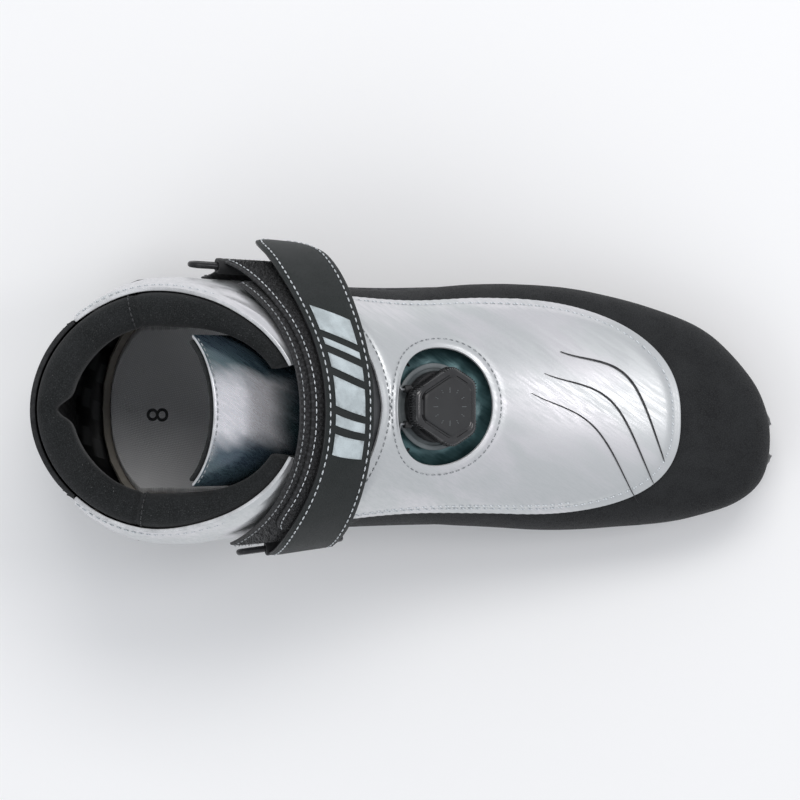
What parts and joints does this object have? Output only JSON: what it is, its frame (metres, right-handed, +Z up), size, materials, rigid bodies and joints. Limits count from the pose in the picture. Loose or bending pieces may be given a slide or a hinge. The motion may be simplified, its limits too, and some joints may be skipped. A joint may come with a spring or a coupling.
{
  "type": "cross country ski boot",
  "caption": "Left cross country race boot with silver cover over a black vamp, wire lacing dial, wrap strap on rings, padded collar and toe bar sole.",
  "frame": {"origin": "middle of the bounding box, at the ground under the treads", "axes": "+X toward the toe, +Y toward the outer side of the foot, +Z up"},
  "size_m": [0.2958, 0.1248, 0.143],
  "materials": {
    "silver_leather": "pearl coated",
    "teal_leather": "pearl coated",
    "black_leather": "matte",
    "soft_black": "brushed microfibre",
    "webbing": "woven, looped pile",
    "strap_face": "coated",
    "lining": "knitted",
    "board": "pressed fibre",
    "footbed": "smooth knit",
    "gusset": "stretch film",
    "carbon": "woven carbon, clear coat",
    "sole_plastic": "moulded",
    "rubber": "moulded",
    "dial_plastic": "moulded",
    "dial_grey": "moulded",
    "steel": "brushed",
    "dark_steel": "black coated"
  },
  "bodies": {
    "boot": {"sole_chassis": "sole_plastic", "toe_bar": "steel", "tread_forefoot_lateral": "rubber", "tread_forefoot_medial": "rubber", "tread_heel_lateral": "rubber", "tread_heel_medial": "rubber", "carbon_shell": "carbon", "insole_board": "board", "footbed": "footbed", "vamp_panel": "black_leather", "quarter_lateral": "silver_leather", "quarter_medial": "silver_leather", "heel_panel": "black_leather", "vamp_cover": "silver_leather", "dial_underlay": "teal_leather", "throat_gusset": "gusset", "toe_puff": "board", "heel_counter": "board", "lining_forefoot": "lining", "lining_lateral": "lining", "lining_medial": "lining", "lining_heel": "lining", "collar_foam_lateral": "soft_black", "collar_foam_heel": "soft_black", "collar_foam_medial": "soft_black", "strap_pad": "webbing", "strap_return": "webbing", "ring_lateral": "dark_steel", "ring_medial": "dark_steel", "ring_anchor_lateral": "webbing", "ring_anchor_medial": "webbing", "dial_base": "dial_grey", "dial_housing": "dial_plastic", "detent_spring": "steel", "dial_screw": "steel", "lace": "steel", "lace_guide_lateral_rear": "dial_plastic", "lace_guide_lateral_front": "dial_plastic", "lace_guide_medial_rear": "dial_plastic", "lace_guide_medial_front": "dial_plastic"},
    "tongue": {"tongue_leather": "teal_leather", "tongue_foam": "soft_black"},
    "strap_flap": {"strap_flap": "strap_face", "hook_patch": "webbing"},
    "dial_slider": {"drive_disc": "dial_grey"},
    "dial_knob": {"knob_core": "dial_plastic", "knob_grip": "rubber"},
    "spool": {"lace_spool": "dial_grey"}
  },
  "joints": [
    {"name": "tongue_flex", "type": "hinge", "parent": "boot", "child": "tongue", "pos_m": [0.02274, -0.00503, 0.07216], "axis": [0, -1, 0], "range_deg": [0, 8]},
    {"name": "strap_peel", "type": "hinge", "parent": "boot", "child": "strap_flap", "pos_m": [-0.04393, -0.05763, 0.07252], "axis": [0.9696, 0.1232, -0.2114], "range_deg": [0, 110]},
    {"name": "dial_pull", "type": "slide", "parent": "boot", "child": "dial_slider", "axis": [0.495, 0, 0.8689], "range_m": [0, 0.0022]},
    {"name": "dial_turn", "type": "hinge", "parent": "dial_slider", "child": "dial_knob", "pos_m": [0.01125, -0.00363, 0.0869], "axis": [0.495, 0, 0.8689], "continuous": true},
    {"name": "spool_turn", "type": "hinge", "parent": "boot", "child": "spool", "pos_m": [0.01125, -0.00363, 0.0869], "axis": [0.495, 0, 0.8689], "continuous": true}
  ]
}
